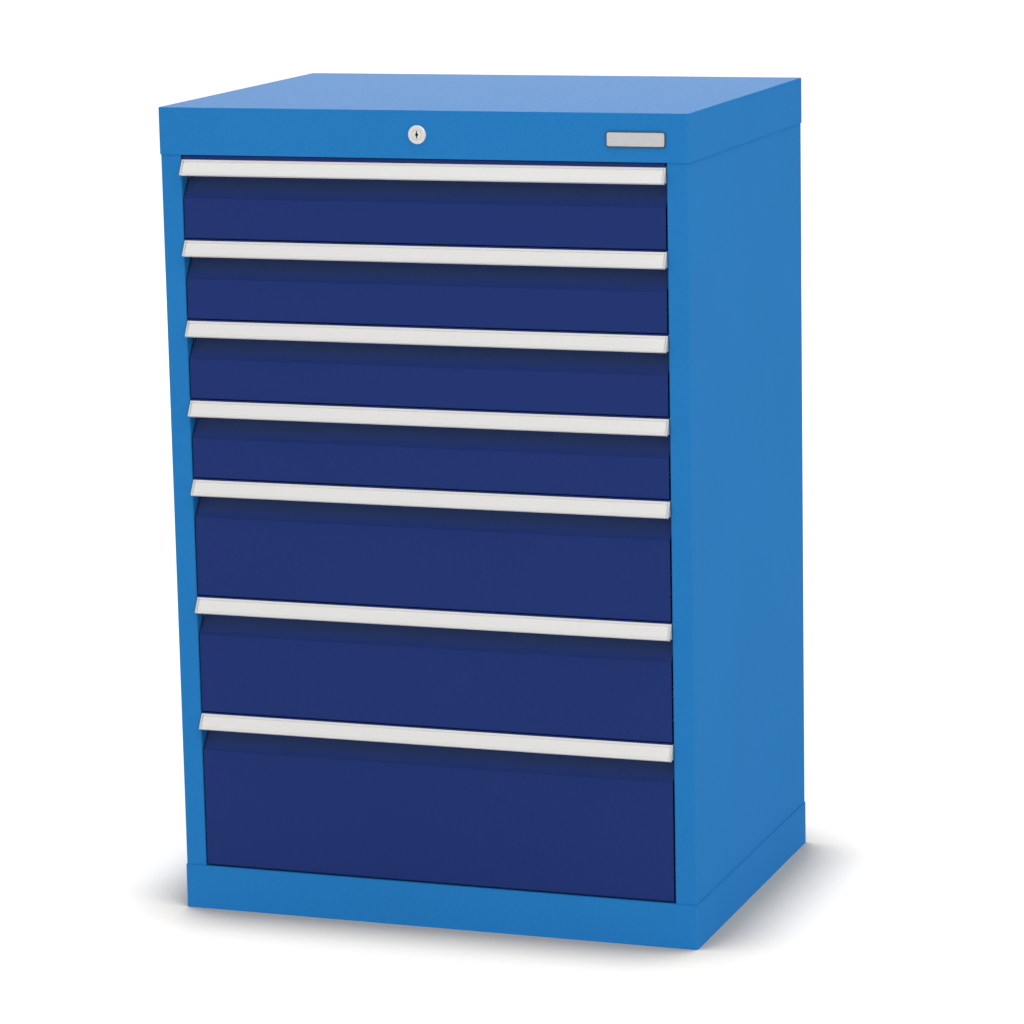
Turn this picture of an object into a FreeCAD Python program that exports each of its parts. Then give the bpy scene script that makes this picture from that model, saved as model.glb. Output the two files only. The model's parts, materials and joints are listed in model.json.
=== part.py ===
import FreeCAD, Part
import os
import Sketcher

# Drawer cabinet: a folded steel case with seven full-extension drawers and a central lock.
# The front looks along -Y, Z is up, and the origin lies under the middle of the outer box.

doc = FreeCAD.newDocument("drawer_cabinet")

# Driving sizes in millimetres and degrees
SIZES = {
    "cabinet_width": 680,
    "cabinet_depth": 500,
    "base_height": 56,
    "cap_height": 58,
    "stack_gap": 5,
    "small_front": 100,
    "medium_front": 150,
    "large_front": 200,
    "cover_sheet": 1.2,
    "cover_radius": 3,
    "cover_bevel": 0.8,
    "wall_sheet": 1.2,
    "wall_bend": 2,
    "wall_lap": 40,
    "jamb_width": 26.8,
    "jamb_return": 18,
    "back_flange": 20,
    "cover_return": 16,
    "foot_flange": 25,
    "front_sheet": 1.2,
    "front_bend": 1.6,
    "front_setback": 1,
    "front_side_gap": 2,
    "front_top_gap": 1,
    "front_upstand": 18,
    "recess_depth": 19,
    "recess_back_drop": 29,
    "recess_drop": 54,
    "handle_top_drop": 6,
    "handle_height": 17.6,
    "handle_reach": 8,
    "handle_setback": 2,
    "handle_thickness": 3.6,
    "handle_leg": 2,
    "handle_groove": 0.6,
    "handle_groove_depth": 4,
    "handle_overhang": 1,
    "handle_cap": 2,
    "handle_cap_height": 19.6,
    "lip_width": 2.4,
    "lip_sheet": 0.7,
    "lip_overhang": 1.1,
    "label_depth": 1.5,
    "label_sheet": 0.6,
    "label_play": 0.2,
    "label_end_gap": 3,
    "box_rear_gap": 44,
    "box_sheet": 1,
    "box_floor_gap": 8,
    "box_top_gap": 12,
    "box_hem": 8,
    "divider_pitch": 75,
    "divider_slot": 3,
    "divider_edge": 12,
    "divider_margin": 25,
    "slide_depth": 13,
    "slide_overlap": 225,
    "slide_rear_gap": 3,
    "slide_height": 43,
    "slide_axis": 40,
    "slide_inset": 2,
    "slide_sheet": 1.5,
    "slide_lip": 2,
    "carriage_sheet": 1.2,
    "carriage_play": 0.5,
    "runner_play": 2.3,
    "ball_track": 5,
    "cage_play": 0.3,
    "cage_width": 4.5,
    "cage_end": 5,
    "post_sheet": 1.5,
    "post_width": 40,
    "post_inset": 12,
    "post_above": 15,
    "post_pitch": 50,
    "post_slot_width": 5,
    "post_slot_height": 24,
    "hook_width": 2,
    "hook_height": 14,
    "hook_drop": 4,
    "hook_reach": 5,
    "hook_play": 0.3,
    "lock_rise": 29,
    "lock_radius": 11.25,
    "lock_flange": 2.5,
    "lock_body_radius": 9,
    "lock_body_length": 18,
    "lock_nut_flats": 24,
    "lock_nut_height": 4,
    "core_radius": 6,
    "core_play": 0.3,
    "key_width": 1.4,
    "key_height": 9,
    "key_round": 1.9,
    "key_depth": 14,
    "cam_swing": 90,
    "cam_arm": 9,
    "cam_flats": 14,
    "cam_sheet": 2,
    "cam_pin": 2.5,
    "cam_rim": 1.5,
    "cam_play": 0.5,
    "bar_setback": 27.8,
    "bar_sheet": 2,
    "bar_width": 18,
    "bar_inset": 5,
    "bar_foot": 5,
    "arm_height": 20,
    "guide_pin": 3,
    "guide_flats": 10,
    "guide_head_sheet": 1.5,
    "guide_play": 0.3,
    "catch_height": 10,
    "catch_axis": 81,
    "catch_play": 1,
    "catch_reach": 11,
    "catch_sheet": 2,
    "badge_width": 72.6,
    "badge_height": 17.8,
    "badge_sheet": 1.5,
    "badge_radius": 3,
    "badge_inset": 65,
    "badge_rise": 27,
}

# Fronts from the top drawer down
FRONTS = ["small_front"] * 4 + ["medium_front"] * 2 + ["large_front"]
DRAWERS = range(1, len(FRONTS) + 1)
GUIDED_DRAWERS = DRAWERS[::3]
LEFT, RIGHT = -1, 1
SIDE_NAMES = {LEFT: "left", RIGHT: "right"}

# Places and lengths that follow from the sizes
PLACES = {
    "cap_front": "-(Sizes.cabinet_depth + Sizes.handle_reach) / 2 + Sizes.handle_reach",
    "cap_back": "(Sizes.cabinet_depth + Sizes.handle_reach) / 2",
    "case_half": "Sizes.cabinet_width / 2 - Sizes.cover_sheet",
    "wall_inner": "Sizes.cabinet_width / 2 - Sizes.cover_sheet - Sizes.wall_sheet",
    "opening_half": "case_half - Sizes.jamb_width",
    "case_front": "cap_front + Sizes.cover_sheet",
    "case_back": "cap_back - Sizes.cover_sheet",
    "back_inner": "case_back - 2 * Sizes.wall_sheet",
    "front_face": "case_front + Sizes.front_setback",
    "front_half": "opening_half - Sizes.front_side_gap",
    "recess_slope": "Sizes.recess_depth / (Sizes.recess_drop - Sizes.recess_back_drop)",
    "slope_bend_drop": "Sizes.front_sheet * (sqrt(1 + recess_slope ^ 2) - 1) / recess_slope",
    "recess_back": "front_face + Sizes.recess_depth",
    "box_front": "recess_back + Sizes.front_sheet",
    "box_back": "back_inner - Sizes.box_rear_gap",
    "box_depth": "box_back - box_front",
    "handle_face": "cap_front + Sizes.handle_setback",
    "handle_run": "Sizes.handle_setback + Sizes.handle_reach",
    "handle_slant": "sqrt(handle_run ^ 2 + Sizes.handle_height ^ 2)",
    "handle_sin": "handle_run / handle_slant",
    "handle_cos": "Sizes.handle_height / handle_slant",
    "handle_half": "front_half + Sizes.handle_overhang",
    "front_drop": "Sizes.handle_top_drop - Sizes.handle_groove - Sizes.front_sheet - Sizes.front_top_gap",
    "post_face": "opening_half - Sizes.hook_play",
    "box_half": "post_face - Sizes.slide_depth",
    "slide_front": "box_front + Sizes.slide_inset",
    "slide_back": "box_back - Sizes.slide_rear_gap",
    "slide_length": "slide_back - slide_front",
    "carriage_half": "Sizes.slide_height / 2 - Sizes.slide_sheet - Sizes.ball_track",
    "runner_half": "carriage_half - Sizes.carriage_sheet - Sizes.ball_track",
    "cage_length": "Sizes.slide_overlap - 2 * Sizes.cage_end",
    "cage_height": "Sizes.ball_track - Sizes.cage_play",
    "bar_back": "case_front + Sizes.bar_setback",
    "bar_front": "bar_back - Sizes.bar_sheet",
    "hook_back": "bar_back + Sizes.bar_sheet",
    "arm_front": "bar_front - Sizes.bar_sheet",
    "catch_front": "hook_back + Sizes.catch_play",
    "front_post": "catch_front + Sizes.catch_sheet",
    "rear_post": "slide_back - Sizes.post_inset - Sizes.post_width",
    "floor_top": "Sizes.base_height - Sizes.cover_sheet",
    "slot_bottom_7": "Sizes.base_height + Sizes.stack_gap",
}
for number in reversed(DRAWERS):
    above = f"slot_bottom_{number - 1}" if number > 1 else "cap_bottom"
    PLACES[above] = f"slot_bottom_{number} + Sizes.{FRONTS[number - 1]}"
PLACES.update({
    "cabinet_height": "cap_bottom + Sizes.cap_height",
    "post_top": "cap_bottom + Sizes.post_above",
    "post_slots": "floor((cap_bottom - slot_bottom_7 - Sizes.slide_axis) / Sizes.post_pitch) + 1",
    "lock_height": "cap_bottom + Sizes.lock_rise",
    "cam_offset": "Sizes.cam_arm * cos(Sizes.cam_swing / 2 * 1 deg)",
    "bar_lift": "2 * Sizes.cam_arm * sin(Sizes.cam_swing / 2 * 1 deg)",
    "bar_centre": "wall_inner - Sizes.bar_inset - Sizes.bar_width / 2",
    "hook_low": "Sizes.catch_axis - bar_lift - Sizes.catch_height / 2",
})


def make_sheet(name, rows):
    """A spreadsheet with one named value per row."""
    sheet = doc.addObject("Spreadsheet::Sheet", name)
    for row, (alias, value) in enumerate(rows.items(), 1):
        sheet.set(f"A{row}", alias)
        sheet.set(f"B{row}", value)
        sheet.setAlias(f"B{row}", alias)
    doc.recompute()
    return sheet


sizes = make_sheet("Sizes", {alias: str(value) for alias, value in SIZES.items()})
places = make_sheet("Places", {alias: "=" + formula for alias, formula in PLACES.items()})


# Building blocks

def origin_feature(body, role):
    """The body's own origin plane or axis with this role."""
    return next(feature for feature in body.Origin.OriginFeatures if feature.Role == role)


def outline_sketch(body, name, role, corners):
    """A closed outline through corners, each a pair of formulas from the body's origin."""
    sketch = body.newObject("Sketcher::SketchObject", name)
    sketch.AttachmentSupport = [(origin_feature(body, role), "")]
    sketch.MapMode = "FlatFace"
    count = len(corners)
    for index in range(count):
        start = FreeCAD.Vector(index, index ** 2, 0)
        end = FreeCAD.Vector(index + 1, (index + 1) ** 2, 0)
        sketch.addGeometry(Part.LineSegment(start, end), False)
    for index in range(count):
        sketch.addConstraint(Sketcher.Constraint("Coincident", index, 2, (index + 1) % count, 1))
    for index, corner in enumerate(corners):
        for kind, formula in zip(("DistanceX", "DistanceY"), corner):
            datum = sketch.addConstraint(Sketcher.Constraint(kind, -1, 1, index, 1, 1.0))
            sketch.setExpression(f"Constraints[{datum}]", formula)
    return sketch


# Pads on these planes grow along the positive axis
PLANES = {"YZ_Plane": ("x", False), "XZ_Plane": ("y", True), "XY_Plane": ("z", False)}


def pad_outline(name, role, corners, start, length):
    """A body padded from one closed outline, along the plane's positive axis from start."""
    body = doc.addObject("PartDesign::Body", name)
    axis, reverse = PLANES[role]
    body.setExpression(f"Placement.Base.{axis}", start)
    sketch = outline_sketch(body, f"{name}_outline", role, corners)
    pad = body.newObject("PartDesign::Pad", f"{name}_pad")
    pad.Profile = sketch
    pad.Reversed = reverse
    pad.setExpression("Length", length)
    doc.recompute()
    return body


def add_fillet(body, name, edge_names, radius):
    """Rounds named edges of the body's last feature."""
    base = body.Tip
    fillet = body.newObject("PartDesign::Fillet", name)
    fillet.Base = (base, edge_names)
    fillet.setExpression("Radius", radius)
    doc.recompute()


def round_corners(body, radius, corner_indexes):
    """Fillets the padded edges that stand on the outline's numbered corners."""
    sketch = doc.getObject(f"{body.Name}_outline")
    spots = [sketch.Placement.multVec(sketch.Geometry[index].StartPoint) for index in corner_indexes]
    along = sketch.Placement.Rotation.multVec(FreeCAD.Vector(0, 0, 1))
    names = []
    for number, edge in enumerate(body.Tip.Shape.Edges, 1):
        line = edge.Vertexes[-1].Point - edge.Vertexes[0].Point
        parallel = line.cross(along).Length < 1e-6 * max(line.Length, 1)
        if parallel and any((edge.Vertexes[0].Point - spot).cross(along).Length < 1e-4 for spot in spots):
            names.append(f"Edge{number}")
    add_fillet(body, f"{body.Name}_round", names, radius)


def cut_row(body, role, corners, axis_role, pitch, count):
    """Pockets one outline right through the body and repeats the cut along an axis."""
    sketch = outline_sketch(body, f"{body.Name}_slot", role, corners)
    pocket = body.newObject("PartDesign::Pocket", f"{body.Name}_pocket")
    pocket.Profile = sketch
    pocket.Type = "ThroughAll"
    pocket.SideType = "Symmetric"
    row = body.newObject("PartDesign::LinearPattern", f"{body.Name}_row")
    row.Originals = [pocket]
    row.Direction = (origin_feature(body, axis_role), [""])
    row.setExpression("Occurrences", count)
    row.setExpression("Length", f"({count} - 1) * {pitch}")
    body.Tip = row
    doc.recompute()


def rectangle(low_x, low_y, high_x, high_y):
    """Corner formulas of an upright rectangle."""
    return [(low_x, low_y), (high_x, low_y), (high_x, high_y), (low_x, high_y)]


def plate(name, low, size):
    """A box from the formulas of its low corner and of its size."""
    box = doc.addObject("Part::Box", name)
    for axis, formula in zip("xyz", low):
        box.setExpression(f"Placement.Base.{axis}", formula)
    for side, formula in zip(("Length", "Width", "Height"), size):
        box.setExpression(side, formula)
    return box


def rod(name, centre, radius, length):
    """A cylinder along +Y from the formulas of its front centre."""
    cylinder = doc.addObject("Part::Cylinder", name)
    cylinder.Placement.Rotation = FreeCAD.Rotation(FreeCAD.Vector(1, 0, 0), -90)
    for axis, formula in zip("xyz", centre):
        cylinder.setExpression(f"Placement.Base.{axis}", formula)
    cylinder.setExpression("Radius", radius)
    cylinder.setExpression("Height", length)
    return cylinder


def hexagon(name, centre, flats, length):
    """A hexagonal prism along +Y from the formulas of its front centre."""
    prism = doc.addObject("Part::Prism", name)
    prism.Polygon = 6
    prism.Placement.Rotation = FreeCAD.Rotation(FreeCAD.Vector(1, 0, 0), -90)
    for axis, formula in zip("xyz", centre):
        prism.setExpression(f"Placement.Base.{axis}", formula)
    prism.setExpression("Circumradius", f"{flats} / sqrt(3)")
    prism.setExpression("Height", length)
    return prism


def cut(name, base, tool):
    """The base with the tool's space taken out."""
    result = doc.addObject("Part::Cut", name)
    result.Base = base
    result.Tool = tool
    return result


def fuse(name, *shapes):
    """One solid out of touching shapes."""
    result = doc.addObject("Part::MultiFuse", name)
    result.Shapes = list(shapes)
    result.Refine = True
    return result


def group(name, *shapes):
    """Separate solids under one name."""
    result = doc.addObject("Part::Compound", name)
    result.Links = list(shapes)
    return result


nodes = {}


def keep(name, shape):
    """Marks a finished piece under its node name."""
    shape.Label = name
    nodes[name] = shape


def outward(side, place, extent):
    """Low X of a box that starts at place and reaches extent away from the middle."""
    return f"{place}" if side == RIGHT else f"-({place}) - ({extent})"


# Case: folded walls, back, floor, cap and base

def side_wall(side):
    """One wall, folded round into the front jamb and its return, and the rear flange."""
    outer = f"{side} * Places.case_half"
    inner = f"{side} * Places.wall_inner"
    jamb = f"{side} * Places.opening_half"
    jamb_inner = f"{side} * (Places.opening_half + Sizes.wall_sheet)"
    flange_end = f"{side} * (Places.case_half - Sizes.back_flange)"
    corners = [
        (outer, "Places.case_front"),
        (jamb, "Places.case_front"),
        (jamb, "Places.case_front + Sizes.jamb_return"),
        (jamb_inner, "Places.case_front + Sizes.jamb_return"),
        (jamb_inner, "Places.case_front + Sizes.wall_sheet"),
        (inner, "Places.case_front + Sizes.wall_sheet"),
        (inner, "Places.case_back - Sizes.wall_sheet"),
        (flange_end, "Places.case_back - Sizes.wall_sheet"),
        (flange_end, "Places.case_back"),
        (outer, "Places.case_back"),
    ]
    name = f"{SIDE_NAMES[side]}_side_wall"
    low = "Sizes.base_height - Sizes.wall_lap"
    body = pad_outline(name, "XY_Plane", corners, low, f"Places.cap_bottom + Sizes.wall_lap - ({low})")
    round_corners(body, "Sizes.wall_bend", [0, 1, 9])
    keep(name, body)


def cover_block(name, low, height):
    """A full-width block with rounded upright edges."""
    half = "Sizes.cabinet_width / 2"
    corners = rectangle(f"-{half}", "Places.cap_front", half, "Places.cap_back")
    body = pad_outline(name, "XY_Plane", corners, low, height)
    round_corners(body, "Sizes.cover_radius", [0, 1, 2, 3])
    return body


def cover_hollow(name, low, height):
    """The space between the skirts of the cap or the base."""
    size = ("2 * Places.case_half", "Places.case_back - Places.case_front", height)
    return plate(name, ("-Places.case_half", "Places.case_front", low), size)


def front_return(name, low):
    """The flange folded back between the jambs from a front skirt's edge."""
    low_corner = ("-Places.opening_half + Sizes.hook_play", "Places.case_front", low)
    size = ("2 * (Places.opening_half - Sizes.hook_play)",
            "Sizes.cover_return - Sizes.cover_sheet", "Sizes.cover_sheet")
    return plate(name, low_corner, size)


def top_cover():
    """The cap: a deep lid over the walls, its top edges bevelled, with the lock's hole."""
    block = cover_block("cap_block", "Places.cap_bottom", "Sizes.cap_height")
    padded = block.Tip
    top_z = sizes.get("cap_height")
    rim = [f"Edge{number}" for number, edge in enumerate(padded.Shape.Edges, 1)
           if all(abs(vertex.Z - top_z) < 1e-4 for vertex in edge.Vertexes)]
    bevel = block.newObject("PartDesign::Chamfer", "cap_rim")
    bevel.Base = (padded, rim)
    bevel.setExpression("Size", "Sizes.cover_bevel")
    doc.recompute()
    hollow = cover_hollow("cap_hollow", "Places.cap_bottom", "Sizes.cap_height - Sizes.cover_sheet")
    centre = ("0", "Places.cap_front - Sizes.lock_flange", "Places.lock_height")
    hole = rod("cap_lock_hole", centre, "Sizes.lock_body_radius", "Sizes.lock_body_length")
    shell = cut("cap_shell", cut("cap_lid", block, hollow), hole)
    keep("top_cover", fuse("top_cover", shell, front_return("cap_return", "Places.cap_bottom")))


def base_plinth():
    """The base: four skirts round the walls, feet flanges folded inward along the floor."""
    block = cover_block("base_block", "0", "Sizes.base_height")
    hollow = cover_hollow("base_hollow", "Sizes.cover_sheet", "Sizes.base_height - Sizes.cover_sheet")
    mouth = plate(
        "base_mouth",
        ("-Places.case_half + Sizes.foot_flange", "Places.case_front + Sizes.foot_flange", "0"),
        ("2 * (Places.case_half - Sizes.foot_flange)",
         "Places.case_back - Places.case_front - 2 * Sizes.foot_flange", "Sizes.cover_sheet"))
    shell = cut("base_shell", cut("base_ring", block, hollow), mouth)
    keep("base_plinth", fuse("base_plinth", shell, front_return("base_return", "Places.floor_top")))


def bottom_panel():
    """The cabinet's floor, under the base's front return and between the walls."""
    low = ("-Places.wall_inner", "Places.case_front + Sizes.jamb_return",
           "Places.floor_top - Sizes.wall_sheet")
    size = ("2 * Places.wall_inner", "Places.back_inner - Places.case_front - Sizes.jamb_return",
            "Sizes.wall_sheet")
    panel = plate("floor_panel", low, size)
    tongue_low = ("-Places.opening_half + Sizes.hook_play", "Places.case_front", low[2])
    tongue_size = ("2 * (Places.opening_half - Sizes.hook_play)", "Sizes.jamb_return", "Sizes.wall_sheet")
    keep("bottom_panel", fuse("bottom_panel", panel, plate("floor_tongue", tongue_low, tongue_size)))


def back_panel():
    """The back sheet, standing in front of the walls' rear flanges."""
    low_z = "Places.floor_top - Sizes.wall_sheet"
    low = ("-Places.wall_inner", "Places.back_inner", low_z)
    height = f"Places.cap_bottom + Sizes.wall_lap - ({low_z})"
    keep("back_panel", plate("back_panel", low, ("2 * Places.wall_inner", "Sizes.wall_sheet", height)))


def upright(side, place, name):
    """One slotted post: a channel with its web towards the drawers."""
    face = f"{side} * Places.post_face"
    web = f"{side} * (Places.post_face + Sizes.post_sheet)"
    wall = f"{side} * Places.wall_inner"
    back = f"{place} + Sizes.post_width"
    corners = [
        (face, place), (wall, place), (wall, f"{place} + Sizes.post_sheet"),
        (web, f"{place} + Sizes.post_sheet"), (web, f"{back} - Sizes.post_sheet"),
        (wall, f"{back} - Sizes.post_sheet"), (wall, back), (face, back),
    ]
    body = pad_outline(name, "XY_Plane", corners, "Places.floor_top", "Places.post_top - Places.floor_top")
    middle = f"{place} + Sizes.post_width / 2"
    axis = "Places.slot_bottom_7 + Sizes.slide_axis - Places.floor_top"
    slot = rectangle(
        f"{middle} - Sizes.post_slot_width / 2", f"{axis} - Sizes.post_slot_height / 2",
        f"{middle} + Sizes.post_slot_width / 2", f"{axis} + Sizes.post_slot_height / 2")
    cut_row(body, "YZ_Plane", slot, "Z_Axis", "Sizes.post_pitch", "Places.post_slots")
    return body


def uprights():
    """Front and rear posts of both sides."""
    posts = [upright(side, f"Places.{end}_post", f"{SIDE_NAMES[side]}_{end}_post")
             for side in (LEFT, RIGHT) for end in ("front", "rear")]
    keep("slotted_uprights", group("slotted_uprights", *posts))


# Telescopic slides

def channel(side, name, web_face, web_end, lip_end, half, sheet, axis):
    """A slide member: a channel along Y; its places are distances from the post's face."""
    def across(depth):
        return f"{side} * (Places.post_face - ({depth}))"
    corners = [
        (across(web_face), f"{axis} - {half}"), (across(lip_end), f"{axis} - {half}"),
        (across(lip_end), f"{axis} - {half} + {sheet}"), (across(web_end), f"{axis} - {half} + {sheet}"),
        (across(web_end), f"{axis} + {half} - {sheet}"), (across(lip_end), f"{axis} + {half} - {sheet}"),
        (across(lip_end), f"{axis} + {half}"), (across(web_face), f"{axis} + {half}"),
    ]
    return pad_outline(name, "XZ_Plane", corners, "Places.slide_front", "Places.slide_length")


def rail_hook(side, name, post, axis):
    """The tab of a cabinet rail that goes through a post's slot and drops behind its web."""
    low_y = f"{post} + Sizes.post_width / 2 - Sizes.hook_width / 2"
    reach = "Sizes.post_sheet + Sizes.hook_reach"
    tab_low = (outward(side, "Places.post_face", reach), low_y, f"{axis} - Sizes.hook_height / 2")
    tab = plate(f"{name}_tab", tab_low, (reach, "Sizes.hook_width", "Sizes.hook_height"))
    claw_start = "Places.post_face + Sizes.post_sheet + Sizes.hook_play"
    claw_reach = "Sizes.hook_reach - Sizes.hook_play"
    claw_low = (outward(side, claw_start, claw_reach), low_y,
                f"{axis} - Sizes.hook_height / 2 - Sizes.hook_drop")
    claw = plate(f"{name}_claw", claw_low, (claw_reach, "Sizes.hook_width", "Sizes.hook_drop"))
    return [tab, claw]


def cabinet_rail(side, number):
    """The fixed member, hung in both posts."""
    name = f"{SIDE_NAMES[side]}_cabinet_rail_{number}"
    axis = f"Places.slot_bottom_{number} + Sizes.slide_axis"
    body = channel(side, f"{name}_channel", "0", "Sizes.slide_sheet", "Sizes.slide_depth - Sizes.slide_lip",
                   "Sizes.slide_height / 2", "Sizes.slide_sheet", axis)
    hooks = rail_hook(side, f"{name}_front", "Places.front_post", axis)
    hooks += rail_hook(side, f"{name}_rear", "Places.rear_post", axis)
    return fuse(name, body, *hooks)


def carriage(side, number):
    """The middle member with its four ball cages, two in each pair of tracks."""
    name = f"{SIDE_NAMES[side]}_carriage_{number}"
    axis = f"Places.slot_bottom_{number} + Sizes.slide_axis"
    web = "Sizes.slide_sheet + Sizes.carriage_play"
    lip_end = "Sizes.slide_depth - Sizes.slide_lip - Sizes.carriage_play"
    body = channel(side, name, web, f"{web} + Sizes.carriage_sheet", lip_end,
                   "Places.carriage_half", "Sizes.carriage_sheet", axis)
    rear_cage = "Places.slide_back - Sizes.cage_end - Places.cage_length"
    front_cage = "Places.slide_front + Sizes.cage_end"
    outer = "Places.carriage_half"
    inner = "Places.carriage_half - Sizes.carriage_sheet - Places.cage_height"
    low_x = outward(side, f"Places.post_face - ({lip_end})", "Sizes.cage_width")
    cages = []
    for tag, start, height in (("outer", rear_cage, outer), ("inner", front_cage, inner)):
        for end, low_z in (("upper", f"{axis} + {height}"),
                           ("lower", f"{axis} - ({height}) - Places.cage_height")):
            cages.append(plate(f"{name}_{tag}_{end}_cage", (low_x, start, low_z),
                               ("Sizes.cage_width", "Places.cage_length", "Places.cage_height")))
    return [body] + cages


def runner(side, number):
    """The drawer's own member, fixed to the box's side."""
    name = f"{SIDE_NAMES[side]}_runner_{number}"
    axis = f"Places.slot_bottom_{number} + Sizes.slide_axis"
    return channel(side, name, "Sizes.slide_depth", "Sizes.slide_depth - Sizes.carriage_sheet",
                   "Sizes.slide_sheet + Sizes.carriage_sheet + Sizes.runner_play", "Places.runner_half",
                   "Sizes.carriage_sheet", axis)


def slides(number):
    """Carriages and runners of one drawer; the cabinet rails are grouped by side."""
    moving = carriage(LEFT, number) + carriage(RIGHT, number)
    keep(f"middle_rails_{number}", group(f"middle_rails_{number}", *moving))
    keep(f"drawer_{number}_rails",
         group(f"drawer_{number}_rails", runner(LEFT, number), runner(RIGHT, number)))


# Drawers

def drawer_front(number):
    """The folded front: top flange, grip recess with its sloping floor, face, and rear upstand.

    It reaches down past its own slot, and the top one's flange turns up towards the cap.
    """
    low = f"Places.slot_bottom_{number}"
    top = f"{low} + Sizes.{FRONTS[number - 1]}"
    roof = f"{top} - Sizes.handle_top_drop + Sizes.handle_groove"
    bend_high = f"{top} - Sizes.recess_back_drop"
    bend_low = f"{top} - Sizes.recess_drop"
    face, deep = "Places.front_face", "Places.recess_back"
    under = f"{low} - Places.front_drop"
    sheet, seat = "Sizes.front_sheet", "Places.box_front"
    lip = f"{roof} + {sheet}"
    edge = [(face, lip)]
    if number == DRAWERS[0]:
        brim = f"{top} - Sizes.front_top_gap"
        edge = [(f"{face} + {sheet}", lip), (f"{face} + {sheet}", brim), (face, brim)]
    corners = [
        (seat, lip), *edge, (face, roof), (deep, roof), (deep, bend_high), (face, bend_low),
        (face, under), (seat, under), (seat, f"{under} + Sizes.front_upstand"),
        (f"{seat} - {sheet}", f"{under} + Sizes.front_upstand"),
        (f"{seat} - {sheet}", f"{under} + {sheet}"),
        (f"{face} + {sheet}", f"{under} + {sheet}"),
        (f"{face} + {sheet}", f"{bend_low} - Places.slope_bend_drop"),
        (seat, f"{bend_high} - Places.slope_bend_drop"),
    ]
    name = f"drawer_{number}_front"
    body = pad_outline(name, "YZ_Plane", corners, "-Places.front_half", "2 * Places.front_half")
    bends = [corners.index((face, bend_low)), corners.index((face, under))]
    round_corners(body, "Sizes.front_bend", bends)
    keep(name, body)


def slanted(number, along, out):
    """A handle point: along the slanted face from its top edge, and out from that face."""
    top = f"Places.slot_bottom_{number} + Sizes.{FRONTS[number - 1]} - Sizes.handle_top_drop"
    return (f"Places.handle_face - ({along}) * Places.handle_sin - ({out}) * Places.handle_cos",
            f"{top} - ({along}) * Places.handle_cos + ({out}) * Places.handle_sin")


def drawer_handle(number):
    """The slanted grip: a leg under the recess roof, a face with two label lips, closed ends."""
    top = f"Places.slot_bottom_{number} + Sizes.{FRONTS[number - 1]} - Sizes.handle_top_drop"
    length = "Places.handle_slant"
    inside = "Sizes.lip_width - Sizes.lip_overhang"
    back = "-Sizes.handle_thickness"
    leg_foot = "(Sizes.handle_leg - Sizes.handle_thickness * Places.handle_sin) / Places.handle_cos"
    groove_back = "Places.handle_face + Sizes.handle_groove_depth"
    leg_top = f"{top} + Sizes.handle_groove"
    corners = [
        (groove_back, top), slanted(number, "0", "0"),
        slanted(number, "Sizes.lip_width", "0"), slanted(number, "Sizes.lip_width", "-Sizes.lip_sheet"),
        slanted(number, inside, "-Sizes.lip_sheet"), slanted(number, inside, "-Sizes.label_depth"),
        slanted(number, f"{length} - ({inside})", "-Sizes.label_depth"),
        slanted(number, f"{length} - ({inside})", "-Sizes.lip_sheet"),
        slanted(number, f"{length} - Sizes.lip_width", "-Sizes.lip_sheet"),
        slanted(number, f"{length} - Sizes.lip_width", "0"),
        slanted(number, length, "0"), slanted(number, length, back), slanted(number, leg_foot, back),
        ("Places.recess_back", f"{top} - Sizes.handle_leg"), ("Places.recess_back", leg_top),
        (groove_back, leg_top),
    ]
    name = f"drawer_{number}_handle"
    bar = pad_outline(f"handle_bar_{number}", "YZ_Plane", corners, "-Places.handle_half",
                      "2 * Places.handle_half")
    end = [slanted(number, "0", "0"), slanted(number, length, "0"),
           ("Places.recess_back", f"{top} - Sizes.handle_cap_height"), ("Places.recess_back", top)]
    starts = {LEFT: "-Places.handle_half", RIGHT: "Places.handle_half - Sizes.handle_cap"}
    caps = [pad_outline(f"{SIDE_NAMES[side]}_handle_cap_{number}", "YZ_Plane", end, start,
                        "Sizes.handle_cap") for side, start in starts.items()]
    keep(name, fuse(name, bar, *caps))


def drawer_label(number):
    """The label strip that slides in between the handle's lips."""
    start = "Sizes.lip_width - Sizes.lip_overhang + Sizes.label_play"
    end = f"Places.handle_slant - ({start})"
    seat, face = "-Sizes.label_depth", "-Sizes.label_depth + Sizes.label_sheet"
    corners = [slanted(number, start, seat), slanted(number, end, seat),
               slanted(number, end, face), slanted(number, start, face)]
    name = f"drawer_{number}_label"
    half = "(Places.handle_half - Sizes.label_end_gap)"
    keep(name, pad_outline(name, "YZ_Plane", corners, f"-{half}", f"2 * {half}"))


def slot_count(run):
    """How many divider slots fit a wall of this run."""
    return f"floor(({run} - 2 * Sizes.divider_margin) / Sizes.divider_pitch) + 1"


def slot_start(run):
    """Where the first slot of a centred row begins on that run."""
    row = f"(({slot_count(run)}) - 1) * Sizes.divider_pitch"
    return f"({run} - {row} - Sizes.divider_slot) / 2"


def box_side(side, number, low, high):
    """A slotted side wall whose top edge is folded flat inward."""
    outer = f"{side} * Places.box_half"
    inner = f"{side} * (Places.box_half - Sizes.box_sheet)"
    hem = f"{side} * (Places.box_half - 2 * Sizes.box_sheet)"
    corners = [(inner, low), (outer, low), (outer, high), (hem, high),
               (hem, f"{high} - Sizes.box_hem"), (inner, f"{high} - Sizes.box_hem")]
    name = f"{SIDE_NAMES[side]}_box_side_{number}"
    body = pad_outline(name, "XZ_Plane", corners, "Places.box_front", "Places.box_depth")
    start = slot_start("Places.box_depth")
    slot = rectangle(start, f"{low} + Sizes.divider_edge",
                     f"{start} + Sizes.divider_slot", f"{high} - Sizes.divider_edge")
    cut_row(body, "YZ_Plane", slot, "Y_Axis", "Sizes.divider_pitch", slot_count("Places.box_depth"))
    return body


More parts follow.
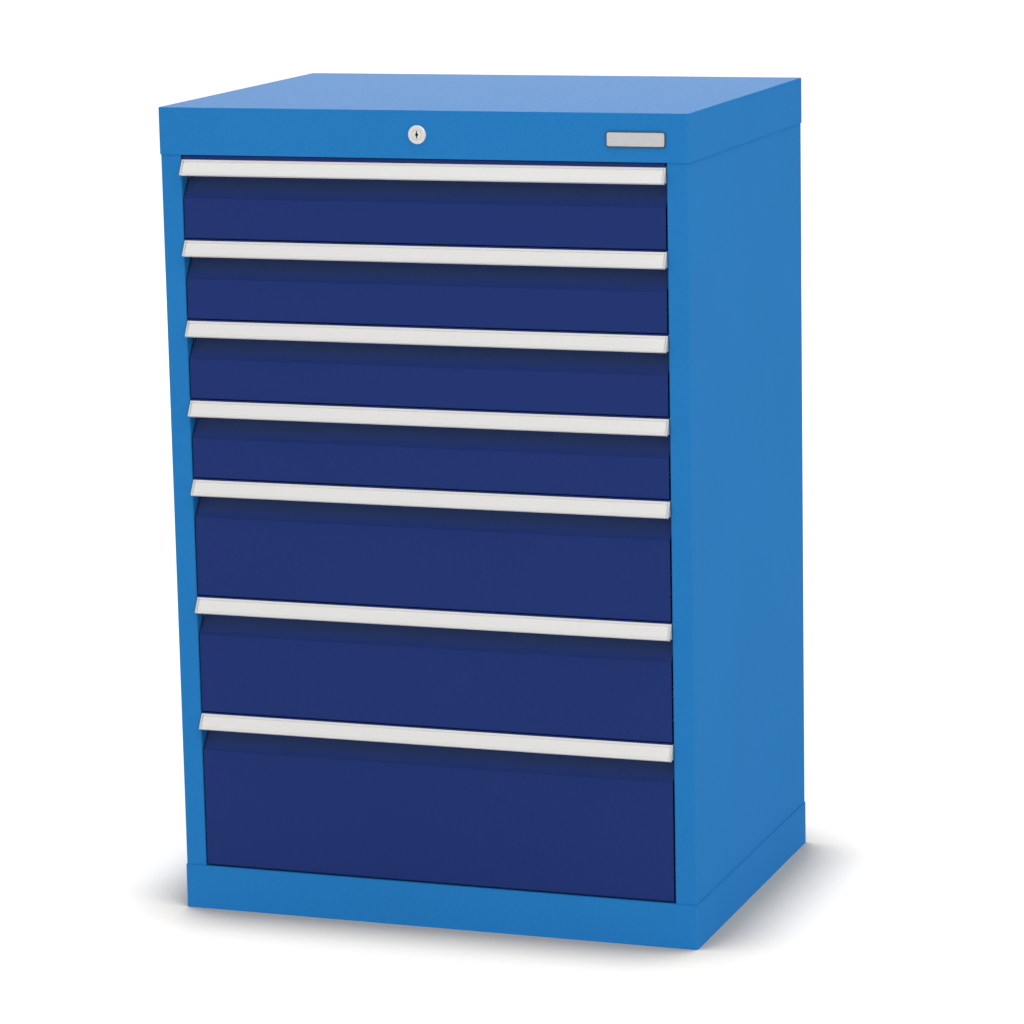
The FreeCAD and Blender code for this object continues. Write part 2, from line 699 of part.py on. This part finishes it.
def box_end(name, place, low, high):
    """A slotted front or back wall between the sides, as high as their hems' lower edge."""
    half = "(Places.box_half - Sizes.box_sheet)"
    corners = rectangle(f"-{half}", low, half, high)
    body = pad_outline(name, "XZ_Plane", corners, place, "Sizes.box_sheet")
    run = f"2 * {half}"
    start = f"{slot_start(run)} - {half}"
    slot = rectangle(start, f"{low} + Sizes.divider_edge",
                     f"{start} + Sizes.divider_slot", f"{high} - Sizes.divider_edge")
    cut_row(body, "XZ_Plane", slot, "X_Axis", "Sizes.divider_pitch", slot_count(run))
    return body


def drawer_box(number):
    """The welded tray: floor, four slotted walls, and the tab that the lock catches."""
    bottom = f"Places.slot_bottom_{number}"
    low = f"{bottom} + Sizes.box_floor_gap"
    high = f"{bottom} + Sizes.{FRONTS[number - 1]} - Sizes.box_top_gap"
    half = "(Places.box_half - Sizes.box_sheet)"
    floor = plate(f"box_floor_{number}", (f"-{half}", "Places.box_front + Sizes.box_sheet", low),
                  (f"2 * {half}", "Places.box_depth - 2 * Sizes.box_sheet", "Sizes.box_sheet"))
    walls = [box_side(side, number, low, high) for side in (LEFT, RIGHT)]
    end_high = f"{high} - Sizes.box_hem"
    walls.append(box_end(f"box_front_{number}", "Places.box_front", low, end_high))
    walls.append(box_end(f"box_back_{number}", "Places.box_back - Sizes.box_sheet", low, end_high))
    catch_low = (outward(LEFT, "Places.box_half", "Sizes.catch_reach"), "Places.catch_front",
                 f"{bottom} + Sizes.catch_axis - Sizes.catch_height / 2")
    catch = plate(f"catch_{number}", catch_low,
                  ("Sizes.catch_reach", "Sizes.catch_sheet", "Sizes.catch_height"))
    keep(f"drawer_{number}_box", group(f"drawer_{number}_box", floor, catch, *walls))


# Central lock

def lock_cylinder():
    """The lock's housing with its rosette, the nut behind the skirt, and the core."""
    rosette = ("0", "Places.cap_front - Sizes.lock_flange", "Places.lock_height")
    shank = ("0", "Places.cap_front", "Places.lock_height")
    disc = rod("lock_rosette", rosette, "Sizes.lock_radius", "Sizes.lock_flange")
    rim = doc.addObject("Part::Chamfer", "lock_rim")
    rim.Base = disc
    doc.recompute()
    front_y = disc.Shape.BoundBox.YMin
    bevel = sizes.get("lock_flange") / 3
    rim.Edges = [(number, bevel, bevel) for number, edge in enumerate(disc.Shape.Edges, 1)
                 if edge.BoundBox.YLength < 1e-6 and abs(edge.BoundBox.YMin - front_y) < 1e-6]
    barrel = rod("lock_barrel", shank, "Sizes.lock_body_radius", "Sizes.lock_body_length")
    bore = rod("lock_bore", rosette, "Sizes.core_radius + Sizes.core_play",
               "Sizes.lock_flange + Sizes.lock_body_length")
    keep("lock_housing", cut("lock_housing", fuse("lock_shell", rim, barrel), bore))

    nut = hexagon("lock_hexagon", ("0", "Places.case_front", "Places.lock_height"),
                  "Sizes.lock_nut_flats", "Sizes.lock_nut_height")
    thread = rod("lock_thread", rosette, "Sizes.lock_body_radius",
                 "Sizes.lock_flange + Sizes.lock_body_length")
    keep("lock_nut", cut("lock_nut", nut, thread))

    length = "Places.arm_front - Sizes.cam_play - Sizes.cam_sheet - Places.cap_front + Sizes.lock_flange"
    plug = rod("lock_plug", rosette, "Sizes.core_radius", length)
    key_low = ("-Sizes.key_width / 2", "Places.cap_front - Sizes.lock_flange",
               "Places.lock_height - Sizes.key_height / 2")
    keyway = plate("lock_keyway", key_low, ("Sizes.key_width", "Sizes.key_depth", "Sizes.key_height"))
    centre_hole = rod("lock_centre_hole", rosette, "Sizes.key_round", "Sizes.key_depth")
    keep("lock_core", cut("lock_core", plug, fuse("lock_keyhole", keyway, centre_hole)))


def lock_cam():
    """The cam behind the core: hexagonal hub and boss, and the pin that carries the bar's arm."""
    low_y = "Places.arm_front - Sizes.cam_play - Sizes.cam_sheet"
    pin_x, pin_z = "-Places.cam_offset", "Places.lock_height - Places.bar_lift / 2"
    hub = hexagon("cam_hub", ("0", low_y, "Places.lock_height"), "Sizes.cam_flats", "Sizes.cam_sheet")
    boss = hexagon("cam_boss", (pin_x, low_y, pin_z), "2 * (Sizes.cam_pin + Sizes.cam_rim)",
                   "Sizes.cam_sheet")
    pin_length = "Sizes.cam_sheet + 2 * Sizes.bar_sheet"
    pin = rod("cam_pin_rod", (pin_x, low_y, pin_z), "Sizes.cam_pin", pin_length)
    keep("lock_cam", fuse("lock_cam", hub, boss, pin))


def lock_bar():
    """The sliding bar behind the left jamb, its arm to the cam, and a hook per drawer."""
    low_x = "-Places.bar_centre - Sizes.bar_width / 2"
    foot = "Places.floor_top + Sizes.bar_foot"
    pin_z = "Places.lock_height - Places.bar_lift / 2"
    arm_low = f"{pin_z} - Sizes.arm_height / 2"
    strip = plate("bar_strip", (low_x, "Places.bar_front", foot),
                  ("Sizes.bar_width", "Sizes.bar_sheet", f"{arm_low} + Sizes.arm_height - ({foot})"))
    windows = []
    for number in GUIDED_DRAWERS:
        centre = guide_height(number)
        low = ("-Places.bar_centre - Sizes.guide_pin - Sizes.guide_play", "Places.bar_front",
               f"{centre} - Places.bar_lift - Sizes.guide_pin - Sizes.guide_play")
        windows.append(plate(f"bar_window_{number}", low,
                             ("2 * (Sizes.guide_pin + Sizes.guide_play)", "Sizes.bar_sheet",
                              "Places.bar_lift + 2 * (Sizes.guide_pin + Sizes.guide_play)")))
    keep("lock_bar", cut("lock_bar", strip, fuse("bar_windows", *windows)))

    arm_end = "Sizes.cam_pin + Sizes.cam_rim"
    arm = plate("arm_strip", (low_x, "Places.arm_front", arm_low),
                (f"{arm_end} - ({low_x})", "Sizes.bar_sheet", "Sizes.arm_height"))
    swing_low = "-Sizes.cam_arm - Sizes.cam_pin - Sizes.cam_play"
    slot = plate("arm_slot", (swing_low, "Places.arm_front", f"{pin_z} - Sizes.cam_pin - Sizes.cam_play"),
                 (f"-Places.cam_offset + Sizes.cam_pin + Sizes.cam_play - ({swing_low})", "Sizes.bar_sheet",
                  "2 * (Sizes.cam_pin + Sizes.cam_play)"))
    keep("lock_arm", cut("lock_arm", arm, slot))

    hooks = []
    for number in DRAWERS:
        low = (low_x, "Places.bar_back", f"Places.slot_bottom_{number} + Places.hook_low")
        reach = f"-Places.box_half - Sizes.catch_reach / 2 - ({low_x})"
        hooks.append(plate(f"bar_hook_{number}", low, (reach, "Sizes.bar_sheet", "Sizes.catch_height")))
    keep("lock_hooks", group("lock_hooks", *hooks))


def guide_height(number):
    """Where a guide pin sits: level with the slide axis of a drawer, clear of the hooks."""
    return f"(Places.slot_bottom_{number} + Sizes.slide_axis / 2)"


def lock_guides():
    """Screws with hexagonal spacers on the front left post, on which the bar slides."""
    pins = []
    for number in GUIDED_DRAWERS:
        centre_x, centre_z = "-Places.bar_centre", guide_height(number)
        collar_front = "Places.bar_back + Sizes.guide_play"
        collar = hexagon(f"guide_collar_{number}", (centre_x, collar_front, centre_z),
                         "Sizes.guide_flats", f"Places.front_post - ({collar_front})")
        head_front = "Places.bar_front - Sizes.guide_play - Sizes.guide_head_sheet"
        shank = rod(f"guide_shank_{number}", (centre_x, head_front, centre_z), "Sizes.guide_pin",
                    f"Places.front_post - ({head_front})")
        head = hexagon(f"guide_head_{number}", (centre_x, head_front, centre_z), "Sizes.guide_flats",
                       "Sizes.guide_head_sheet")
        pins.append(fuse(f"guide_{number}", collar, shank, head))
    keep("lock_bar_guides", group("lock_bar_guides", *pins))


def badge_plate():
    """The bare plate on the cap, near its right end."""
    centre_x = "Sizes.cabinet_width / 2 - Sizes.badge_inset"
    centre_z = "Places.cap_bottom + Sizes.badge_rise"
    corners = rectangle(f"{centre_x} - Sizes.badge_width / 2", f"{centre_z} - Sizes.badge_height / 2",
                        f"{centre_x} + Sizes.badge_width / 2", f"{centre_z} + Sizes.badge_height / 2")
    body = pad_outline("badge_plate", "XZ_Plane", corners, "Places.cap_front - Sizes.badge_sheet",
                       "Sizes.badge_sheet")
    round_corners(body, "Sizes.badge_radius", [0, 1, 2, 3])
    keep("badge_plate", body)


# Assembly

uprights()
for side in (LEFT, RIGHT):
    side_wall(side)
    rails = [cabinet_rail(side, number) for number in DRAWERS]
    keep(f"{SIDE_NAMES[side]}_cabinet_rails", group(f"{SIDE_NAMES[side]}_cabinet_rails", *rails))
top_cover()
base_plinth()
bottom_panel()
back_panel()
for number in DRAWERS:
    drawer_box(number)
    drawer_front(number)
    drawer_handle(number)
    drawer_label(number)
    slides(number)
lock_cylinder()
lock_cam()
lock_bar()
lock_guides()
badge_plate()
doc.recompute()

# Every object and every finished shape is sound before anything is written
for item in doc.Objects:
    if "Invalid" in item.State or "Error" in item.State:
        raise RuntimeError(f"{item.Label}: {item.State}")
for name, item in nodes.items():
    if item.Shape.isNull() or not item.Shape.isValid():
        raise RuntimeError(f"{name} has no valid shape")

os.makedirs("parts", exist_ok=True)
for name, item in nodes.items():
    item.Shape.exportStep(os.path.join("parts", f"{name}.step"))
    box = item.Shape.BoundBox
    print(f"{name}: {len(item.Shape.Solids)} solids, "
          f"x {box.XMin:.1f} to {box.XMax:.1f}, y {box.YMin:.1f} to {box.YMax:.1f}, "
          f"z {box.ZMin:.1f} to {box.ZMax:.1f}")
print(f"{len(nodes)} nodes")
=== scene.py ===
import json
import math

import bmesh
import bpy
from mathutils import Matrix, Vector


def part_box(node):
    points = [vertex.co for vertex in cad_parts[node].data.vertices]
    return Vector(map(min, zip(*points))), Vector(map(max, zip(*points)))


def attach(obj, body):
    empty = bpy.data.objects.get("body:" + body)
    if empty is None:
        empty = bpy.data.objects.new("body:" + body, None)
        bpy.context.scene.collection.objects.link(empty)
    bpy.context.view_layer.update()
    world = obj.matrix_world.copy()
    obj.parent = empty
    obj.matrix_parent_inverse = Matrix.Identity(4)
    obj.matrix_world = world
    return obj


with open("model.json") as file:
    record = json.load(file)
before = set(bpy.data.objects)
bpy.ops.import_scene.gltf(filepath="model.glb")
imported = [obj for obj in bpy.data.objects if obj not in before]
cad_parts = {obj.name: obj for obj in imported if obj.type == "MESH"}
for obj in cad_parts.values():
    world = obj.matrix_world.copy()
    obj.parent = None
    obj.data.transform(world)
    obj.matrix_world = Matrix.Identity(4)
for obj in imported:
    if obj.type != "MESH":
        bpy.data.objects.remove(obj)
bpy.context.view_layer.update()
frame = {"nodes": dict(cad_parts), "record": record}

nodes = frame["nodes"]
scene = bpy.context.scene
scene.view_settings.view_transform = "Standard"

# Camera: where the photograph was taken from, worked out from its edges; angles in degrees
CAMERA_PLACE = (1.69006, -4.65669, 1.44671)
CAMERA_TURN = (19.6983, 11.0263, -1.1576)
FOCAL_PIXELS = 3937.10
FRAME_PIXELS = 1024
SENSOR_WIDTH = 36
CLIP_RANGE = (0.1, 100)


def make_camera():
    """A camera that looks back along azimuth and elevation, rolled about its own axis."""
    azimuth, elevation, roll = map(math.radians, CAMERA_TURN)
    back = Vector((math.sin(azimuth) * math.cos(elevation),
                   -math.cos(azimuth) * math.cos(elevation),
                   math.sin(elevation)))
    right = Vector((0, 0, 1)).cross(back).normalized()
    up = back.cross(right)
    rolled = Matrix((right, up, back)).transposed() @ Matrix.Rotation(roll, 3, "Z")
    data = bpy.data.cameras.new("photo_camera")
    data.sensor_width = SENSOR_WIDTH
    data.lens = FOCAL_PIXELS / FRAME_PIXELS * data.sensor_width
    data.clip_start, data.clip_end = CLIP_RANGE
    camera = bpy.data.objects.new("photo_camera", data)
    camera.matrix_world = Matrix.Translation(CAMERA_PLACE) @ rolled.to_4x4()
    scene.collection.objects.link(camera)
    scene.camera = camera


make_camera()


# Materials

class Recipe:
    """A material's node tree, built up from the object's own coordinates."""

    def __init__(self, name):
        self.material = bpy.data.materials.new(name)
        self.material.use_nodes = True
        self.tree = self.material.node_tree
        self.shader = self.tree.nodes["Principled BSDF"]
        self.place = self.tree.nodes.new("ShaderNodeTexCoord").outputs["Object"]

    def link(self, value, socket):
        """Sets a socket from another socket or from a plain value."""
        if isinstance(value, bpy.types.NodeSocket):
            self.tree.links.new(value, socket)
        else:
            socket.default_value = value

    def scaled(self, factors):
        """The object's coordinates stretched by a factor per axis."""
        node = self.tree.nodes.new("ShaderNodeMapping")
        node.inputs["Scale"].default_value = factors
        self.link(self.place, node.inputs["Vector"])
        return node.outputs["Vector"]

    def noise(self, scale, detail=2, where=None):
        """Soft noise round a half, over the object's coordinates or over those given."""
        node = self.tree.nodes.new("ShaderNodeTexNoise")
        self.link(where or self.place, node.inputs["Vector"])
        node.inputs["Scale"].default_value = scale
        node.inputs["Detail"].default_value = detail
        return node.outputs["Fac"]

    def cells(self, scale):
        """Flat cells, each of its own value."""
        node = self.tree.nodes.new("ShaderNodeTexVoronoi")
        self.link(self.place, node.inputs["Vector"])
        node.inputs["Scale"].default_value = scale
        return node.outputs["Color"]

    def spread(self, value, low, high, start=0.3, end=0.7):
        """Maps a value between start and end to the range from low to high."""
        node = self.tree.nodes.new("ShaderNodeMapRange")
        self.link(value, node.inputs["Value"])
        limits = (("From Min", start), ("From Max", end), ("To Min", low), ("To Max", high))
        for name, number in limits:
            node.inputs[name].default_value = number
        return node.outputs["Result"]

    def combine(self, first, second, operation="ADD"):
        """Two values joined by a sum, or by the operation given."""
        node = self.tree.nodes.new("ShaderNodeMath")
        node.operation = operation
        self.link(first, node.inputs[0])
        self.link(second, node.inputs[1])
        return node.outputs[0]

    def axis(self, name):
        """The object's coordinate along one axis."""
        node = self.tree.nodes.new("ShaderNodeSeparateXYZ")
        self.link(self.place, node.inputs[0])
        return node.outputs[name]

    def shade(self, colour, value):
        """The colour brightened or darkened by a value round one."""
        node = self.tree.nodes.new("ShaderNodeVectorMath")
        node.operation = "SCALE"
        node.inputs[0].default_value = colour
        self.link(value, node.inputs["Scale"])
        return node.outputs["Vector"]

    def blend(self, value, first, second):
        """The first colour at zero and the second at one; the second is a plain colour."""
        node = self.tree.nodes.new("ShaderNodeMix")
        node.data_type = "RGBA"
        factor, colour_a, colour_b = (node.inputs[index] for index in (0, 6, 7))
        self.link(value, factor)
        self.link(first, colour_a)
        self.link((*second, 1), colour_b)
        return node.outputs[2]

    def bump(self, height, strength, distance):
        """A surface roughened by a height, with the distance in metres."""
        node = self.tree.nodes.new("ShaderNodeBump")
        self.link(height, node.inputs["Height"])
        node.inputs["Strength"].default_value = strength
        node.inputs["Distance"].default_value = distance
        return node.outputs["Normal"]

    def finish(self, **inputs):
        """Sets the shader's sockets by name, with underscores for the spaces."""
        for name, value in inputs.items():
            self.link(value, self.shader.inputs[name.replace("_", " ")])
        return self.material


def powder_coat(name, colour, roughness, level, recess_reflection=None):
    """Baked paint: fine speckle, slow unevenness, a shallow orange-peel texture, and a painted
    reflection that lightens the recess by depth.
    """
    recipe = Recipe(name)
    speckle = recipe.noise(1100, 1)
    peel = recipe.noise(330)
    slow = recipe.noise(5)
    grain = recipe.combine(recipe.spread(speckle, -0.05, 0.05), recipe.spread(peel, -0.025, 0.025))
    tone = recipe.combine(grain, recipe.spread(slow, 0.985, 1.015))
    height = recipe.combine(peel, recipe.combine(speckle, 0.35, "MULTIPLY"))
    coat = recipe.shade(colour, tone)
    # Painted reflection: the recess behind the front face is lightened towards a paler navy, by
    # depth, up to the recess's back
    if recess_reflection:
        depth = recipe.axis("Y")
        painted_reflection = recipe.combine(recipe.spread(depth, 0, 1, *RECESS_DEPTHS),
                                 recipe.spread(depth, 1, 0, *RECESS_BACK), "MULTIPLY")
        painted_reflection = recipe.combine(painted_reflection, recipe.spread(peel, 0.8, 1), "MULTIPLY")
        coat = recipe.blend(painted_reflection, coat, recess_reflection)
    return recipe.finish(
        Base_Color=coat,
        Roughness=recipe.spread(peel, roughness - 0.04, roughness + 0.05),
        Normal=recipe.bump(height, 0.16, 0.0003),
        Specular_IOR_Level=level)


def satin_aluminium(name, colour, roughness):
    """An anodised extrusion: drawing lines along its length, a matt bloom, duller closed ends."""
    recipe = Recipe(name)
    lines = recipe.noise(1, 3, recipe.scaled((3, 900, 900)))
    bloom = recipe.noise(700, 1)
    tone = recipe.combine(recipe.spread(lines, 0.97, 1.03), recipe.spread(bloom, -0.012, 0.012))
    outward = recipe.combine(recipe.axis("X"), 0, "ABSOLUTE")
    capped = recipe.combine(tone, recipe.spread(outward, 1, CAP_TONE, *CAP_SPAN), "MULTIPLY")
    return recipe.finish(
        Base_Color=recipe.shade(colour, capped),
        Metallic=0.35,
        Roughness=recipe.spread(lines, roughness - 0.05, roughness + 0.06),
        Normal=recipe.bump(lines, 0.1, 0.0001))


def strip_plastic(name, colour):
    """A plain label strip with a fibrous matt face."""
    recipe = Recipe(name)
    fibre = recipe.noise(1, 3, recipe.scaled((120, 600, 600)))
    fine = recipe.noise(1800, 1)
    tone = recipe.combine(recipe.spread(fibre, 0.985, 1.012), recipe.spread(fine, -0.01, 0.01))
    return recipe.finish(
        Base_Color=recipe.shade(colour, tone),
        Roughness=recipe.spread(fibre, 0.5, 0.6),
        Normal=recipe.bump(recipe.combine(fibre, fine), 0.08, 0.0001))


def zinc_plate(name, colour):
    """Bright zinc plating: crystal flakes of slightly different grey, with rolling marks."""
    recipe = Recipe(name)
    flakes = recipe.spread(recipe.cells(140), 0.88, 1.1, 0, 1)
    marks = recipe.noise(1, 2, recipe.scaled((40, 40, 900)))
    tone = recipe.combine(flakes, recipe.spread(marks, -0.05, 0.05))
    return recipe.finish(
        Base_Color=recipe.shade(colour, tone),
        Metallic=0.5,
        Roughness=recipe.spread(marks, 0.28, 0.42),
        Normal=recipe.bump(marks, 0.12, 0.0001))


def bright_nickel(name, colour, roughness):
    """Polished plating: faint turning rings round the lock's own axis, and painted shade: the
    keyhole and the recessed face round it painted near black.
    """
    recipe = Recipe(name)
    rise = recipe.combine(recipe.axis("Z"), LOCK_HEIGHT, "SUBTRACT")
    square = recipe.combine(recipe.combine(recipe.axis("X"), 2, "POWER"),
                            recipe.combine(rise, 2, "POWER"))
    radius = recipe.combine(square, 0.5, "POWER")
    rings = recipe.combine(recipe.combine(radius, RING_FREQUENCY, "MULTIPLY"), 0, "SINE")
    clouds = recipe.noise(260)
    # Painted shade: behind the lock's face and close to its axis the plating turns near black,
    # where the keyhole lies in shade
    keyhole_shade = recipe.combine(recipe.spread(recipe.axis("Y"), 0, 1, *KEYHOLE_DEPTHS),
                            recipe.spread(radius, 1, 0, *KEYHOLE_RADII), "MULTIPLY")
    plated = recipe.shade(colour, recipe.spread(clouds, 0.95, 1.03))
    return recipe.finish(
        Base_Color=recipe.blend(keyhole_shade, plated, KEYHOLE_SHADE_COLOUR),
        Metallic=0.25,
        Roughness=recipe.spread(clouds, roughness - 0.03, roughness + 0.05),
        Normal=recipe.bump(recipe.spread(rings, 0, 1, -1, 1), 0.05, 0.00005))


def badge_face(name, colour):
    """A bare plate with a short horizontal brushing."""
    recipe = Recipe(name)
    brush = recipe.noise(1, 3, recipe.scaled((90, 2500, 2500)))
    return recipe.finish(
        Base_Color=recipe.shade(colour, recipe.spread(brush, 0.93, 1.06)),
        Metallic=0.4,
        Roughness=recipe.spread(brush, 0.3, 0.42),
        Normal=recipe.bump(brush, 0.12, 0.0001))


# Places in metres: the lock's axis and its painted keyhole shade, the fronts' recess with its
# painted reflection, the handles' closed ends
LOCK_HEIGHT = 0.99
KEYHOLE_DEPTHS = (-0.2483, -0.2475)
KEYHOLE_RADII = (0.0050, 0.0056)
RECESS_DEPTHS = (-0.2425, -0.2300)
RECESS_BACK = (-0.2242, -0.2238)
CAP_SPAN = (0.3076, 0.3080)
# The closed ends' tone, the turning rings in radians per metre, and the painted keyhole shade's
# colour
CAP_TONE = 0.84
RING_FREQUENCY = 9000
KEYHOLE_SHADE_COLOUR = (0.01, 0.01, 0.01)
FINISHES = {
    "case_paint": powder_coat("case_paint", (0.020, 0.201, 0.536), 0.44, 0.02),
    # The drawer paint's last colour is its painted reflection, a paler navy for the recess under
    # each handle
    "drawer_paint": powder_coat("drawer_paint", (0.011, 0.033, 0.182), 0.50, 0.14,
                                (0.042, 0.072, 0.205)),
    "handle_aluminium": satin_aluminium("handle_aluminium", (0.97, 0.97, 0.97), 0.42),
    "label_strip": strip_plastic("label_strip", (0.80, 0.80, 0.79)),
    "zinc_steel": zinc_plate("zinc_steel", (0.66, 0.68, 0.71)),
    "lock_chrome": bright_nickel("lock_chrome", (0.93, 0.93, 0.92), 0.16),
    "badge_metal": badge_face("badge_metal", (0.84, 0.86, 0.90)),
}
# The rim's near-black finish is painted shade round the badge
BADGE_SHADE_RIM = badge_face("badge_shade_rim", (0.10, 0.13, 0.17))

for entry in frame["record"]["subparts"]:
    mesh = nodes[entry["node"]].data
    mesh.materials.clear()
    mesh.materials.append(FINISHES[entry["material_slot"]])


# The one piece that the solids lack: the badge's rim, a dark frame of painted shade for the shaded
# gap round the plate, with its sizes in metres

RIM_OVERHANG = 0.0006
RIM_RADIUS = 0.0036
RIM_LEAST_RADIUS = 0.0002
# The rim's section: inset from its outer edge, and height above the plate's face
RIM_SECTION = [(0, -0.0014), (0, 0), (0.0004, 0.0004), (0.0010, 0.0004), (0.0014, 0),
               (0.0014, -0.0014)]


def add_piece(name, mesh_builder, material, body):
    """A mesh piece on a body, with the finish given."""
    mesh = bpy.data.meshes.new(name)
    shape = bmesh.new()
    mesh_builder(shape)
    bmesh.ops.recalc_face_normals(shape, faces=shape.faces)
    shape.to_mesh(mesh)
    shape.free()
    mesh.materials.append(material)
    piece = bpy.data.objects.new(name, mesh)
    scene.collection.objects.link(piece)
    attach(piece, body)


def rounded_loop(half_width, half_height, radius, steps=6):
    """Points round a rectangle with rounded corners, anticlockwise from the right."""
    points = []
    for corner, (side_x, side_z) in enumerate(((1, 1), (-1, 1), (-1, -1), (1, -1))):
        for step in range(steps + 1):
            angle = math.radians(90 * corner + 90 * step / steps)
            points.append((side_x * (half_width - radius) + radius * math.cos(angle),
                           side_z * (half_height - radius) + radius * math.sin(angle)))
    return points


def sweep_frame(shape, centre, size, radius, section):
    """A closed frame: a section of insets and heights carried round a rounded rectangle."""
    rings = []
    for inset, height in section:
        loop = rounded_loop(size[0] / 2 - inset, size[1] / 2 - inset,
                            max(radius - inset, RIM_LEAST_RADIUS))
        rings.append([shape.verts.new((centre[0] + x, centre[1] - height, centre[2] + z))
                      for x, z in loop])
    for ring, following in zip(rings, rings[1:] + rings[:1]):
        for index in range(len(ring)):
            after = (index + 1) % len(ring)
            shape.faces.new((ring[index], ring[after], following[after], following[index]))


def badge_shade_rim():
    """The thin dark edge round the bare plate: painted shade for the shaded gap round it."""
    low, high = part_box("badge_plate")
    centre = ((low.x + high.x) / 2, low.y, (low.z + high.z) / 2)
    size = (high.x - low.x + 2 * RIM_OVERHANG, high.z - low.z + 2 * RIM_OVERHANG)

    def build(shape):
        sweep_frame(shape, centre, size, RIM_RADIUS, RIM_SECTION)

    add_piece("badge_shade_rim", build, BADGE_SHADE_RIM, "cabinet")


badge_shade_rim()


# Stage: a pale floor on a white ground, an even sky and two broad soft lamps. Floor and sky are
# dimmer to reflections than to the camera, which sees the floor glow except near the cabinet.

WHITE = (1, 1, 1, 1)
SKY_LIGHT = 0.88
SKY_GLOSS = 0.32
SKY_SEEN = 1.05
FLOOR_HALF = 30
FLOOR_COLOUR = (0.96, 0.92, 0.86)
FLOOR_SEEN = 0.50
FLOOR_GLOW = 0.66
FLOOR_GLOSS = 0.2
# How far the cabinet shades the floor in metres, and the openness that spans dark to lit
CONTACT_SHADE = 0.13
CONTACT_SPAN = (0.57, 0.98)
LAMP_TARGET = (0, 0, 0.5)


def ray_kind(tree, output):
    """One for rays of this kind, zero for the others: seen directly, or seen as a reflection."""
    return tree.nodes.new("ShaderNodeLightPath").outputs[f"Is {output} Ray"]


def make_floor():
    """A flat sheet of pale paper with a soft contact shade round the cabinet."""
    shape = bmesh.new()
    bmesh.ops.create_grid(shape, x_segments=8, y_segments=8, size=FLOOR_HALF)
    mesh = bpy.data.meshes.new("floor")
    shape.to_mesh(mesh)
    shape.free()
    recipe = Recipe("floor_paper")
    near = recipe.tree.nodes.new("ShaderNodeAmbientOcclusion")
    near.inputs["Distance"].default_value = CONTACT_SHADE
    open_ground = recipe.spread(near.outputs["AO"], 0, FLOOR_GLOW, *CONTACT_SPAN)
    glow = recipe.combine(ray_kind(recipe.tree, "Camera"), open_ground, "MULTIPLY")
    seen = recipe.spread(ray_kind(recipe.tree, "Camera"), 1, FLOOR_SEEN, 0, 1)
    mirrored = recipe.spread(ray_kind(recipe.tree, "Glossy"), 1, FLOOR_GLOSS, 0, 1)
    paper = recipe.combine(recipe.combine(seen, mirrored, "MULTIPLY"),
                           recipe.spread(recipe.noise(3), 0.99, 1.01), "MULTIPLY")
    recipe.finish(
        Base_Color=recipe.shade(FLOOR_COLOUR, paper),
        Roughness=0.9,
        Specular_IOR_Level=0.1,
        Emission_Color=WHITE,
        Emission_Strength=glow)
    mesh.materials.append(recipe.material)
    floor = bpy.data.objects.new("floor", mesh)
    scene.collection.objects.link(floor)


def make_sky():
    """An even white sky, with a brightness of its own for reflections and for the camera."""
    world = bpy.data.worlds.new("studio")
    world.use_nodes = True
    tree = world.node_tree
    background = tree.nodes["Background"]
    background.inputs["Color"].default_value = WHITE
    brightness = None
    for output, value in (("Glossy", SKY_GLOSS), ("Camera", SKY_SEEN)):
        choice = tree.nodes.new("ShaderNodeMapRange")
        tree.links.new(ray_kind(tree, output), choice.inputs["Value"])
        if brightness is None:
            choice.inputs["To Min"].default_value = SKY_LIGHT
        else:
            tree.links.new(brightness, choice.inputs["To Min"])
        choice.inputs["To Max"].default_value = value
        brightness = choice.outputs["Result"]
    tree.links.new(brightness, background.inputs["Strength"])
    scene.world = world


def add_lamp(name, azimuth, elevation, distance, size, power):
    """A square soft lamp aimed at the cabinet's middle, itself out of sight."""
    turn, rise = math.radians(azimuth), math.radians(elevation)
    away = Vector((math.sin(turn) * math.cos(rise),
                   -math.cos(turn) * math.cos(rise),
                   math.sin(rise)))
    data = bpy.data.lights.new(name, "AREA")
    data.size = size
    data.energy = power
    lamp = bpy.data.objects.new(name, data)
    lamp.location = Vector(LAMP_TARGET) + away * distance
    lamp.rotation_mode = "QUATERNION"
    lamp.rotation_quaternion = away.to_track_quat("Z", "Y")
    lamp.visible_camera = False
    scene.collection.objects.link(lamp)


make_floor()
make_sky()
# One from high up at the right, and one low behind the cabinet that whitens the lid's top
add_lamp("key_lamp", azimuth=54, elevation=60, distance=5, size=4.5, power=70)
add_lamp("sheen_lamp", azimuth=199, elevation=14, distance=6, size=3.0, power=62)
